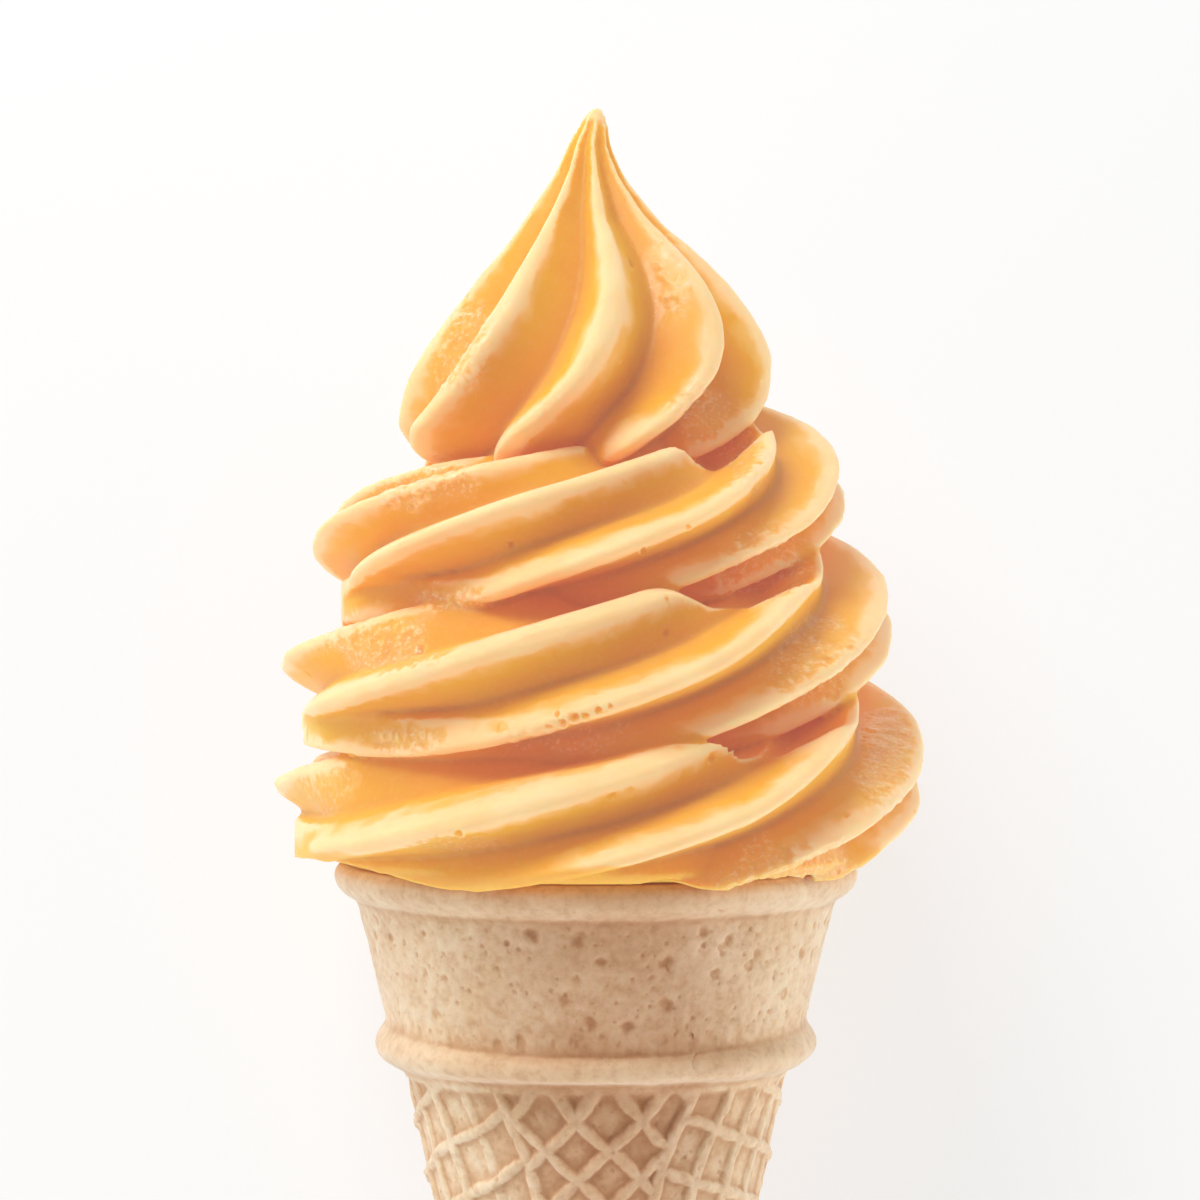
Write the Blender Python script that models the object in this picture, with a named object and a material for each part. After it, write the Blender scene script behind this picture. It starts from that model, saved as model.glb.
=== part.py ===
"""A soft serve ice cream in a moulded wafer cone, lying on its back with its front up.

The pieces are shaped standing, with z = 0 at the top of the wafer's rim, x to the right
and the front towards -y. An empty carries both and lays them down, so that the peak
points along +Y.
"""

import math

import bmesh
import bpy
import numpy as np
from mathutils import Matrix

MM = 0.001

# One row for each quarter turn of the piped rope. Turn 0 is at the right, 0.25 at the back,
# 0.5 at the left and 0.75 at the front, and the coil climbs that way.
# turns, reach from the axis, half its depth, half its height, level above the rim (mm), lean (deg)
ROPE_STATIONS = (
    (-0.10, 12.0, 9.0, 6.0, 3.0, 3.0),
    (0.08, 23.0, 13.0, 7.0, 3.4, 3.0),
    (0.25, 29.5, 14.2, 8.0, 3.8, 3.5),
    (0.50, 33.2, 15.5, 6.4, 5.7, 4.0),
    (0.75, 32.9, 15.5, 9.2, 6.0, 4.5),
    (1.00, 33.0, 15.5, 11.2, 9.7, 5.0),
    (1.25, 33.0, 15.5, 9.0, 13.6, 5.0),
    (1.50, 32.4, 15.4, 6.3, 18.1, 5.0),
    (1.75, 31.4, 15.3, 9.6, 18.9, 5.5),
    (2.00, 30.1, 15.2, 9.8, 24.7, 5.5),
    (2.25, 29.4, 15.1, 9.4, 28.3, 6.0),
    (2.50, 28.4, 15.0, 7.8, 31.4, 6.0),
    (2.75, 26.4, 14.6, 8.7, 32.3, 7.5),
    (2.88, 25.7, 14.3, 8.1, 34.0, 9.0),
    (3.00, 25.0, 14.0, 9.4, 37.2, 10.0),
    (3.25, 22.6, 13.0, 9.0, 39.6, 11.0),
    (3.50, 17.2, 12.0, 7.5, 41.0, 12.0),
    (3.75, 10.0, 8.0, 6.0, 41.0, 12.0),
)
# Where each ridge of the rope crosses its outer edge on the three turns, as bearings from
# the front, deg. Plus is to the right.
RIDGE_BEARINGS = (
    (-112.0, -110.0, -84.0),
    (-20.0, -35.0, -36.0),
    (26.0, 19.0, 18.0),
    (68.0, 61.0, 61.0),
    (108.0, 104.0, 96.0),
    (152.0, 152.0, 152.0),
    (192.0, 195.0, 198.0),
    (220.0, 232.0, 240.0),
)
NOSE_RIDGE = 2  # the ridge that ends in a nose on each turn: it turns over sooner there
NOSE_PAST = 26.0  # deg past its crossing
NOSE_TWIST = -9.0  # deg
FLUTE_DEPTH = 0.33  # of the rope's half size, from a ridge to the groove beside it
FLUTE_SKEW = 0.56  # where the groove lies between two ridges: the lower face is the long one
PRESSED_FLUTE = 0.3  # of the flute depth left on the underside, where turns press on each other
LIP_BEHIND = 0.3  # mm above the rim's top that the lowest ridge keeps at the back
LIP_DROP = 0.75  # mm lower at the front, where it hangs outside the rim

# Valleys where a turn dips under the one above it, at the front on the right.
# first and last turn, the reach and height of the valley's bottom (mm), mm up per mm out
VALLEYS = (
    (0.78, 0.96, 26.5, 11.4, 0.9),
    (1.78, 1.96, 24.5, 25.3, 0.9),
    (2.74, 3.01, 16.0, 38.2, 1.5),
)
# Where a turn's underside is pushed out at the left by the one below.
# middle and width (turns), the reach it is pushed to and the height it starts below (mm)
PUSHED_OUT = (
    (0.50, 0.16, 30.0, 5.4),
    (1.54, 0.13, 29.3, 16.2),
    (2.52, 0.10, 25.4, 29.0),
)

# height above the rim, radius, shift to the right (mm), twist (deg)
PEAK_STATIONS = (
    (39.6, 9.0, -2.8, -34.0),
    (40.1, 13.6, -2.8, -31.0),
    (40.9, 15.7, -2.7, -28.0),
    (42.1, 17.4, -2.5, -24.0),
    (44.1, 18.6, -2.0, -17.0),
    (46.9, 18.5, -1.1, -9.0),
    (49.3, 18.05, -0.5, -4.5),
    (51.7, 17.05, 0.0, -2.0),
    (54.1, 15.5, 0.35, -0.5),
    (56.5, 13.75, 0.5, 0.0),
    (58.9, 11.7, 0.4, 0.5),
    (61.3, 9.4, 0.1, 1.0),
    (63.7, 7.05, -0.4, 2.5),
    (66.1, 5.25, -0.6, 4.0),
    (68.5, 3.6, -0.7, 4.7),
    (70.9, 2.5, -0.7, 5.2),
    (73.3, 1.6, -0.3, 5.7),
    (74.5, 1.1, -0.1, 6.0),
    (75.3, 0.4, 0.1, 6.0),
)
PEAK_BEARINGS = (-86.0, -36.0, 5.5, 48.0, 89.0, 134.0, 180.0, 226.0)
PEAK_RISE = 0.02  # of its foot towards the right, mm per mm
PEAK_DROOP = 0.09  # of its foot towards the front
PEAK_TILT_FADE = 14.0  # mm above the foot, where both have faded out

# The filled middle of the coil, with the foot that is pressed on the rim, as (radius, height), mm
CORE_OUTLINE = (
    (24.0, 0.3), (27.2, 0.3), (27.9, 1.2), (27.0, 3.5), (20.0, 7.0), (14.0, 9.0), (14.0, 37.0),
    (9.0, 43.0),
)

# The wafer cone, as (radius, height) from the rim down, mm
WAFER_OUTLINE = (
    (25.5, 0.0), (26.1, -0.7), (26.05, -1.4), (25.75, -2.2), (25.0, -2.9), (23.9, -3.5),
    (23.6, -4.3), (21.0, -15.0), (20.95, -15.8), (21.4, -16.4), (21.9, -17.1), (22.05, -17.9),
    (21.7, -18.8), (20.7, -19.6), (19.5, -20.2), (19.1, -20.6), (5.1, -91.0), (4.4, -94.0),
    (2.9, -95.6), (0.3, -96.0),
)
CUP_CORNERS = 8  # points of the outline from the rim's top to the cup's foot
LATTICE_TOP = -20.8
LATTICE_COLUMNS = 18
LATTICE_ROWS = 22
LATTICE_FIRST_STEP = 3.0  # mm, half the height of the top cells
LATTICE_SHRINK = 0.45  # how far the cells' height follows the narrowing cone
LATTICE_PHASE = -5.6  # deg, the bearing of a crossing
POCKET_DEPTH = 0.75  # mm
POCKET_INSET = 0.34  # of a cell's half size, from its edge to the floor of its pocket

GAP = 0.3  # mm between the ice cream and the wafer
LIE_ANGLE = 14.9  # deg, how much the axis climbs towards the peak as it lies
RIM_HEIGHT = 27.35  # mm, the rim's middle above the floor. The resting spots are pressed flat
CENTRING = (-0.09, 10.21)  # mm, to the middle of the object's box

SECTION_POINTS = 8  # between two ridges
COIL_STEP = 4.0  # deg
PEAK_RINGS = 40
CORE_STEPS = 48
CLEARANCE_STEPS = 72
VOXEL = 0.6  # mm
SOFT_SERVE_TRIANGLES = 4300
SMOOTH_BELOW = 35.0  # deg between faces

# linear colour, roughness, metallic
CREAM_FINISH = ((0.93, 0.52, 0.15), 0.32, 0.0)
WAFER_FINISH = ((0.72, 0.52, 0.34), 0.65, 0.0)


def along(keys, x):
    """A smooth curve through (x, value) keys, with no overshoot."""
    table = np.array(keys, float)
    xs = table[:, 0]
    ys = table[:, 1]
    steps = np.diff(xs)
    slopes = np.diff(ys) / steps
    tangents = np.zeros(len(xs))
    tangents[0] = slopes[0]
    tangents[-1] = slopes[-1]
    for i in range(1, len(xs) - 1):
        if slopes[i - 1] * slopes[i] > 0:
            before = 2 * steps[i] + steps[i - 1]
            after = steps[i] + 2 * steps[i - 1]
            tangents[i] = (before + after) / (before / slopes[i - 1] + after / slopes[i])
    x = np.clip(x, xs[0], xs[-1])
    i = np.clip(np.searchsorted(xs, x) - 1, 0, len(steps) - 1)
    t = (x - xs[i]) / steps[i]
    return (
        (2 * t**3 - 3 * t**2 + 1) * ys[i]
        + (t**3 - 2 * t**2 + t) * steps[i] * tangents[i]
        + (3 * t**2 - 2 * t**3) * ys[i + 1]
        + (t**3 - t**2) * steps[i] * tangents[i + 1]
    )


def smooth_step(low, high, x):
    t = np.clip((x - low) / (high - low), 0, 1)
    return t * t * (3 - 2 * t)


def flute(t):
    """How deep the rope's surface lies at t of the way from one ridge to the next."""
    q = FLUTE_SKEW
    keys = (
        (0.0, 0.0), (0.1 * q, 0.07), (0.29 * q, 0.4), (0.52 * q, 0.71), (0.78 * q, 0.92), (q, 1.0),
        (q + 0.14 * (1 - q), 0.88), (q + 0.46 * (1 - q), 0.46), (q + 0.72 * (1 - q), 0.1),
        (q + 0.82 * (1 - q), 0.015), (1.0, 0.0),
    )
    return along(keys, t)


def section(bearings):
    """Bearings round the rope, and how deep the flutes are there."""
    t = np.arange(SECTION_POINTS) / SECTION_POINTS
    following = np.append(bearings[1:], bearings[0] + 360)
    angles = bearings[:, None] + (following - bearings)[:, None] * t
    return angles.ravel(), np.tile(flute(t), len(bearings))


def ridge_bearings(turns):
    """The bearing of each ridge at this point of the coil."""
    found = []
    for ridge, tiers in enumerate(RIDGE_BEARINGS):
        keys = []
        for tier, bearing in enumerate(tiers):
            crossing = 0.75 + bearing / 360 + tier
            keys.append((crossing, bearing))
            if ridge == NOSE_RIDGE:
                keys.append((crossing + NOSE_PAST / 360, bearing + NOSE_TWIST))
        found.append(along(keys, turns))
    return np.array(found)


def rope_size(turns):
    """Reach, half depth, half height, level and lean at this point of the coil."""
    stations = np.array(ROPE_STATIONS)
    return [float(along(stations[:, (0, column)], turns)) for column in range(1, 6)]


def settled(x, y, z):
    """The lowest ridge lies on the rim instead of passing through it."""
    reach = np.maximum(np.hypot(x, y), 1.0)
    lip = LIP_BEHIND - LIP_DROP * smooth_step(-0.1, 0.75, -y / reach)
    return np.where(z < lip, lip + 0.1 * (z - lip), z)


def coil_rings():
    """The rope's sections along the coil."""
    rings = []
    for turns in np.arange(ROPE_STATIONS[0][0], ROPE_STATIONS[-1][0], COIL_STEP / 360):
        angle = turns * math.tau
        reach, depth, height, level, lean = rope_size(turns)
        bearings, deep = section(ridge_bearings(turns))
        turned = np.radians(bearings - 90) - angle
        under = np.sin(turned) * (np.cos(turned) > -0.2)
        pressed = smooth_step(0.8, 1.0, under) * (1 - PRESSED_FLUTE)
        factor = 1 - FLUTE_DEPTH * deep * (1 - pressed)
        outward = reach - depth + depth * factor * np.cos(turned)
        across = height * factor * np.sin(turned)
        z = level - across * math.cos(math.radians(lean))
        for start, end, out, low, rise in VALLEYS:
            tucked = smooth_step(start, start + 0.06, turns) * smooth_step(end, end - 0.12, turns)
            ceiling = low + rise * np.maximum(outward - out, 0)
            z = z - tucked * np.maximum(z - ceiling, 0)
        for middle, width, out, top in PUSHED_OUT:
            near = math.exp(-(((turns - middle) / width) ** 2)) * (np.cos(turned) > 0)
            outward = outward + near * smooth_step(top, top - 1.2, z) * np.maximum(out - outward, 0)
        onward = across * math.sin(math.radians(lean))
        x = outward * math.cos(angle) - onward * math.sin(angle)
        y = outward * math.sin(angle) + onward * math.cos(angle)
        rings.append(np.stack((x, y, settled(x, y, z)), axis=1))
    return np.array(rings)


def peak_rings():
    """Level sections of the peak."""
    stations = np.array(PEAK_STATIONS)
    base = stations[0, 0]
    rings = []
    for share in np.linspace(0, 1, PEAK_RINGS) ** 1.15:
        z = base + (stations[-1, 0] - base) * share
        radius, shift, twist = [float(along(stations[:, (0, i)], z)) for i in (1, 2, 3)]
        bearings, deep = section(np.array(PEAK_BEARINGS) + twist)
        angle = np.radians(bearings - 90)
        spread = radius * (1 - FLUTE_DEPTH * deep)
        x = spread * np.cos(angle)
        y = spread * np.sin(angle)
        tilt = max(0, 1 - (z - base) / PEAK_TILT_FADE)
        rise = (PEAK_RISE * x + PEAK_DROOP * np.minimum(y, 0)) * tilt
        rings.append(np.stack((x + shift, y, z + rise), axis=1))
    return np.array(rings)


def link_mesh(name, mesh):
    obj = bpy.data.objects.new(name, mesh)
    bpy.context.scene.collection.objects.link(obj)
    return obj


def mesh_object(name, points, faces):
    """An object of these points, in mm, with its faces pointing out."""
    mesh = bpy.data.meshes.new(name)
    mesh.from_pydata([tuple(point) for point in np.asarray(points) * MM], [], faces)
    work = bmesh.new()
    work.from_mesh(mesh)
    bmesh.ops.recalc_face_normals(work, faces=work.faces)
    work.to_mesh(mesh)
    work.free()
    mesh.shade_smooth()
    mesh.set_sharp_from_angle(angle=math.radians(SMOOTH_BELOW))
    return link_mesh(name, mesh)


def ring_faces(ring_count, point_count, first=0):
    """The quads between rings of points, and a cap at either end."""
    faces = []
    for i in range(ring_count - 1):
        for j in range(point_count):
            k = (j + 1) % point_count
            low = first + i * point_count
            high = low + point_count
            faces.append((low + j, low + k, high + k, high + j))
    last = first + (ring_count - 1) * point_count
    faces.append(tuple(range(first, first + point_count))[::-1])
    faces.append(tuple(range(last, last + point_count)))
    return faces


def turned_rings(outline, steps):
    """Rings of points round the axis, for an outline of (radius, height)."""
    angles = np.arange(steps) * math.tau / steps
    rings = []
    for radius, height in outline:
        level = np.full(steps, height)
        rings.append(np.stack((radius * np.cos(angles), radius * np.sin(angles), level), axis=1))
    return np.array(rings)


def finish(obj, name, look):
    """Gives the object a material with this colour, roughness and metallic value."""
    colour, roughness, metallic = look
    material = bpy.data.materials.new(name)
    material.use_nodes = True
    shader = material.node_tree.nodes["Principled BSDF"]
    shader.inputs["Base Color"].default_value = (*colour, 1.0)
    shader.inputs["Roughness"].default_value = roughness
    shader.inputs["Metallic"].default_value = metallic
    obj.data.materials.append(material)


def cut(obj, name, cutter):
    """Takes the cutter's shape away from the object."""
    cutter.hide_render = True
    cutter.display_type = "WIRE"
    modifier = obj.modifiers.new(name, "BOOLEAN")
    modifier.operation = "DIFFERENCE"
    modifier.solver = "EXACT"
    modifier.object = cutter


def floor_cutter(name):
    """A slab under z = 0."""
    mesh = bpy.data.meshes.new(name)
    work = bmesh.new()
    bmesh.ops.create_cube(work, size=1.0)
    work.to_mesh(mesh)
    work.free()
    mesh.transform(Matrix.Translation((0, 0, -0.02)) @ Matrix.Diagonal((0.3, 0.5, 0.04, 1)))
    return link_mesh(name, mesh)


def soft_serve():
    """The coil, its peak and its filled middle, grown together into one skin."""
    points = []
    faces = []
    for rings in (coil_rings(), peak_rings(), turned_rings(CORE_OUTLINE, CORE_STEPS)):
        faces += ring_faces(rings.shape[0], rings.shape[1], len(points))
        points += list(rings.reshape(-1, 3))
    obj = mesh_object("soft_serve", points, faces)
    remesh = obj.modifiers.new("one skin", "REMESH")
    remesh.mode = "VOXEL"
    remesh.voxel_size = VOXEL * MM
    remesh.use_smooth_shade = True
    decimate = obj.modifiers.new("facets", "DECIMATE")
    graph = bpy.context.evaluated_depsgraph_get()
    quads = len(obj.evaluated_get(graph).data.polygons)
    decimate.ratio = SOFT_SERVE_TRIANGLES / (2 * quads)
    finish(obj, "piped_cream", CREAM_FINISH)
    return obj


def wafer_radius(z):
    """The wafer's outer radius at a height."""
    heights = [-height for _, height in WAFER_OUTLINE]
    radii = [radius for radius, _ in WAFER_OUTLINE]
    return float(np.interp(-z, heights, radii))


def lattice_rows():
    """The heights of the lattice's corners, from the collar down."""
    rows = [LATTICE_TOP]
    for _ in range(LATTICE_ROWS):
        scale = wafer_radius(rows[-1]) / wafer_radius(LATTICE_TOP)
        rows.append(rows[-1] - LATTICE_FIRST_STEP * scale**LATTICE_SHRINK)
    return rows


def lattice_ring(radius, level):
    """A plain ring with a point at every half column."""
    return [lattice_point(j, radius, level) for j in range(2 * LATTICE_COLUMNS)]


def lattice_point(half_columns, radius, level):
    """A point this many half columns round from the lattice's first crossing."""
    angle = math.radians(LATTICE_PHASE - 90) + half_columns * math.pi / LATTICE_COLUMNS
    return (radius * math.cos(angle), radius * math.sin(angle), level)


def pocket(row, middle, rows, points, faces, corners):
    """A square pocket standing on its corner, with sloping walls."""
    scale = wafer_radius(rows[row]) / wafer_radius(LATTICE_TOP)
    reach = 1 - POCKET_INSET
    floor = []
    for across, down in ((-1, 0), (0, 1), (1, 0), (0, -1)):
        level = float(np.interp(row + down * reach, range(len(rows)), rows))
        radius = wafer_radius(level) - POCKET_DEPTH * scale**0.5
        floor.append(len(points))
        points.append(lattice_point(middle + across * reach, radius, level))
    faces.append(tuple(floor))
    for i in range(4):
        k = (i + 1) % 4
        faces.append((corners[i], corners[k], floor[k], floor[i]))


def wafer_cone():
    """The rim, cup, collar and latticed cone. Its inside doesn't show, so it is solid."""
    rows = lattice_rows()
    around = 2 * LATTICE_COLUMNS
    last = len(rows) - 1
    upper = [point for point in WAFER_OUTLINE if point[1] > LATTICE_TOP]
    upper.append((wafer_radius(LATTICE_TOP), LATTICE_TOP))
    lower = [(wafer_radius(rows[-1]), rows[-1])]
    lower += [point for point in WAFER_OUTLINE if point[1] < rows[-1] - 0.5]
    points = []
    for radius, level in upper:
        points += lattice_ring(radius, level)
    faces = ring_faces(len(upper), around)[:-1]
    nodes = [[len(points) - around + j for j in range(around)]]
    for row in range(1, last):
        nodes.append([None] * around)
        for j in range(row % 2, around, 2):
            nodes[row][j] = len(points)
            points.append(lattice_point(j, wafer_radius(rows[row]), rows[row]))
    first = len(points)
    for radius, level in lower:
        points += lattice_ring(radius, level)
    below = ring_faces(len(lower), around, first)
    faces += below[:-2] + below[-1:]
    nodes.append([first + j for j in range(around)])
    for edge, inner in ((0, 1), (last, last - 1)):
        for j in range(edge % 2, around, 2):
            middle = (j + 1) % around
            after = (j + 2) % around
            faces.append((nodes[edge][j], nodes[edge][middle], nodes[edge][after], nodes[inner][middle]))
    for row in range(1, last):
        for j in range(row % 2, around, 2):
            middle = (j + 1) % around
            after = (j + 2) % around
            corners = (nodes[row][j], nodes[row + 1][middle], nodes[row][after], nodes[row - 1][middle])
            pocket(row, j + 1, rows, points, faces, corners)
    obj = mesh_object("wafer_cone", points, faces)
    finish(obj, "baked_wafer", WAFER_FINISH)
    return obj


def clearance():
    """The cup's shape grown by the gap."""
    cup = WAFER_OUTLINE[:CUP_CORNERS]
    outline = [(0.05, cup[0][1] + GAP)]
    outline += [(radius + GAP, height + GAP * (height == cup[0][1])) for radius, height in cup]
    outline.append((0.05, cup[-1][1]))
    rings = turned_rings(outline, CLEARANCE_STEPS)
    return mesh_object("clearance", rings.reshape(-1, 3), ring_faces(*rings.shape[:2]))


def lay_down(objects):
    """Hangs the standing pieces on an empty that lays them on their back."""
    carrier = bpy.data.objects.new("laid_down", None)
    bpy.context.scene.collection.objects.link(carrier)
    carrier.location = (CENTRING[0] * MM, CENTRING[1] * MM, RIM_HEIGHT * MM)
    carrier.rotation_euler = (math.radians(LIE_ANGLE - 90), 0, 0)
    for obj in objects:
        obj.parent = carrier


def clear_scene():
    for obj in list(bpy.data.objects):
        bpy.data.objects.remove(obj)


clear_scene()
ice_cream = soft_serve()
wafer = wafer_cone()
room = clearance()
lay_down((ice_cream, wafer, room))
cut(ice_cream, "room for the wafer", room)
cut(ice_cream, "resting spot", floor_cutter("floor under the ice cream"))
cut(wafer, "resting spot", floor_cutter("floor under the wafer"))
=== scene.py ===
import math

import bmesh
import bpy
import numpy as np
from mathutils import Matrix, Vector


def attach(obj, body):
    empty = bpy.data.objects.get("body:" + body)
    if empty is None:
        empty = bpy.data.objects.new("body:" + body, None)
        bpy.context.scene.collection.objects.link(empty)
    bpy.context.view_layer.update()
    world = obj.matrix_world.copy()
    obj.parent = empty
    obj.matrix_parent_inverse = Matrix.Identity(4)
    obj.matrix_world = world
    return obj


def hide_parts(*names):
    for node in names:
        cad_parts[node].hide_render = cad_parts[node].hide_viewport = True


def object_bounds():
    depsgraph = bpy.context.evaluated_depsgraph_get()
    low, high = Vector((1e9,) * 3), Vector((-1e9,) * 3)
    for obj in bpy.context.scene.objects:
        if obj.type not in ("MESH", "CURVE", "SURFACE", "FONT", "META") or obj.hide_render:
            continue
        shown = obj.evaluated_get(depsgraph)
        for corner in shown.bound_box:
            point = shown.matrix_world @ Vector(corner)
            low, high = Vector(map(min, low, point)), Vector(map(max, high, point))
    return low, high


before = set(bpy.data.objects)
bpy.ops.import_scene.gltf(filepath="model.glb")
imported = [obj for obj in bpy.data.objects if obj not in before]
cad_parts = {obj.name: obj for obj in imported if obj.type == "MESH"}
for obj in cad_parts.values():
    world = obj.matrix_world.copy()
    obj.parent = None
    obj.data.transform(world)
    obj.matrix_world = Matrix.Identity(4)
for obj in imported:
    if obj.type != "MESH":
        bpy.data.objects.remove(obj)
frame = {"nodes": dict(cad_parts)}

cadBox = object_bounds()
mm = 0.001
print("frame loaded:", ", ".join(frame["nodes"]))

# How the cone lies. Everything is shaped standing up, in mm, with z = 0 at the top of the
# wafer's rim, x to the right and the front towards -y, and is laid down at the end.
pose = {
    "lean": 14.9,          # deg, the axis climbs this much towards the peak
    "rimHeight": 27.35,    # the rim's middle above the floor
    "centring": (-0.09, 10.21),
}


def layingMatrix():
    turn = Matrix.Rotation(math.radians(pose["lean"] - 90), 4, "X")
    x, y = pose["centring"]
    return Matrix.Translation((x * mm, y * mm, pose["rimHeight"] * mm)) @ turn @ Matrix.Scale(mm, 4)


laying = layingMatrix()


def along(keys, x):
    # a smooth curve through (x, value) keys, with no overshoot
    table = np.array(keys, float)
    xs, ys = table[:, 0], table[:, 1]
    steps = np.diff(xs)
    slopes = np.diff(ys) / steps
    tangents = np.zeros(len(xs))
    tangents[0], tangents[-1] = slopes[0], slopes[-1]
    for i in range(1, len(xs) - 1):
        if slopes[i - 1] * slopes[i] > 0:
            before = 2 * steps[i] + steps[i - 1]
            after = steps[i] + 2 * steps[i - 1]
            tangents[i] = (before + after) / (before / slopes[i - 1] + after / slopes[i])
    x = np.clip(x, xs[0], xs[-1])
    i = np.clip(np.searchsorted(xs, x) - 1, 0, len(steps) - 1)
    t = (x - xs[i]) / steps[i]
    return (
        (2 * t**3 - 3 * t**2 + 1) * ys[i]
        + (t**3 - 2 * t**2 + t) * steps[i] * tangents[i]
        + (3 * t**2 - 2 * t**3) * ys[i + 1]
        + (t**3 - t**2) * steps[i] * tangents[i + 1]
    )


def smoothStep(low, high, x):
    t = np.clip((x - low) / (high - low), 0, 1)
    return t * t * (3 - 2 * t)


def hump(x, middle, width):
    # 1 at the middle, and next to nothing twice this width away
    return np.exp(-(((x - middle) / width) ** 2))


def scatter(cells, seed):
    # one steady random number from 0 to 1 for each whole-number cell. The large odd numbers
    # send neighbouring cells far apart
    cells = cells.astype(np.int64)
    mixed = cells[..., 0] * 374761393 + cells[..., 1] * 668265263
    mixed = mixed + cells[..., 2] * 2147483647 + seed * 974711
    mixed = (mixed ^ (mixed >> 13)) * 1274126177
    mixed = mixed ^ (mixed >> 16)
    return (mixed & 0xFFFFFF) / 0xFFFFFF


def softNoise(points, size, seed):
    # smooth noise from -1 to 1 with lumps about this many mm across. Each pattern has its own
    # seed
    place = points / size
    base = np.floor(place)
    t = place - base
    t = t * t * t * (t * (t * 6 - 15) + 10)
    total = 0
    for i in (0, 1):
        for j in (0, 1):
            for k in (0, 1):
                corner = scatter(base + (i, j, k), seed)
                weight = 1
                for axis, step in enumerate((i, j, k)):
                    weight = weight * (t[..., axis] if step else 1 - t[..., axis])
                total = total + corner * weight
    return total * 2 - 1


def layeredNoise(points, size, seed, layers=3):
    # finer lumps on coarser ones, from about -1 to 1
    total, strength = 0, 1.0
    for layer in range(layers):
        total = total + softNoise(points, size / 2**layer, seed + layer * 17) * strength
        strength *= 0.5
    return total / 1.6


def nearestGrain(points, size, seed):
    # distance, in mm, to the nearest and the second nearest of points scattered this far apart
    place = points / size
    base = np.floor(place)
    best = np.full(place.shape[:-1], 9.0)
    second = best.copy()
    pick = np.zeros_like(best)
    for i in (-1, 0, 1):
        for j in (-1, 0, 1):
            for k in (-1, 0, 1):
                cell = base + (i, j, k)
                spot = cell + np.stack([scatter(cell, seed + n) for n in (1, 2, 3)], -1)
                gap = np.sqrt(((place - spot) ** 2).sum(-1))
                closer = gap < best
                second = np.where(closer, best, np.minimum(second, gap))
                pick = np.where(closer, scatter(cell, seed + 4), pick)
                best = np.where(closer, gap, best)
    return best * size, second * size, pick


def meshObject(name, points, faces):
    mesh = bpy.data.meshes.new(name)
    mesh.from_pydata(np.asarray(points).tolist(), [], faces)
    mesh.update()
    obj = bpy.data.objects.new(name, mesh)
    bpy.context.scene.collection.objects.link(obj)
    return obj


def meshVectors(mesh, what):
    # the points ("co") or the normals ("normal") as rows
    rows = np.empty(len(mesh.vertices) * 3, np.float32)
    mesh.vertices.foreach_get(what, rows)
    return rows.reshape(-1, 3).astype(float)


def setMeshPoints(mesh, points):
    mesh.vertices.foreach_set("co", points.astype(np.float32).ravel())
    mesh.update()


def relaxed(mesh, values, rounds):
    # each point's values averaged with its neighbours', this many times over
    ends = np.empty(len(mesh.edges) * 2, np.int32)
    mesh.edges.foreach_get("vertices", ends)
    a, b = ends.reshape(-1, 2).T
    total = len(mesh.vertices)
    shares = np.maximum(np.bincount(a, minlength=total) + np.bincount(b, minlength=total), 1)
    columns = []
    for column in values.T:
        for _ in range(rounds):
            column = (
                np.bincount(a, weights=column[b], minlength=total)
                + np.bincount(b, weights=column[a], minlength=total)
            ) / shares
        columns.append(column)
    return np.stack(columns, 1)


def keepRelief(obj, name, rounds, reach, share=1.0):
    # stores how far each point stands out of its smoothed surroundings, from 0 in a hollow
    # to 1 on a crest. Reach is in metres
    mesh = obj.data
    points = meshVectors(mesh, "co")
    out = ((points - relaxed(mesh, points, rounds)) * meshVectors(mesh, "normal")).sum(1)
    relief = np.clip(0.5 + 0.5 * out / reach * share, 0, 1)
    mesh.attributes.new(name, "FLOAT", "POINT").data.foreach_set("value", relief.astype(np.float32))


def ringFaces(ringCount, pointCount, first=0):
    # quads between rings of points, and a cap at either end
    faces = []
    for i in range(ringCount - 1):
        for j in range(pointCount):
            k = (j + 1) % pointCount
            low = first + i * pointCount
            high = low + pointCount
            faces.append((low + j, low + k, high + k, high + j))
    last = first + (ringCount - 1) * pointCount
    faces.append(tuple(range(first, first + pointCount))[::-1])
    faces.append(tuple(range(last, last + pointCount)))
    return faces


def facingOut(obj):
    work = bmesh.new()
    work.from_mesh(obj.data)
    bmesh.ops.recalc_face_normals(work, faces=work.faces)
    work.to_mesh(obj.data)
    work.free()


def applyModifiers(obj):
    graph = bpy.context.evaluated_depsgraph_get()
    mesh = bpy.data.meshes.new_from_object(obj.evaluated_get(graph))
    obj.modifiers.clear()
    old = obj.data
    obj.data = mesh
    bpy.data.meshes.remove(old)


def thinOut(obj, triangles):
    # fewer, larger faces where the surface is calm
    count = sum(len(face.vertices) - 2 for face in obj.data.polygons)
    if count > triangles:
        obj.modifiers.new("thin out", "DECIMATE").ratio = triangles / count
        applyModifiers(obj)


def layDown(obj):
    # from standing in mm to lying in metres, pressed flat where it rests and never past the
    # frame's own box
    obj.data.transform(laying)
    points = meshVectors(obj.data, "co")
    setMeshPoints(obj.data, np.clip(points, cadBox[0], cadBox[1]))


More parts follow.
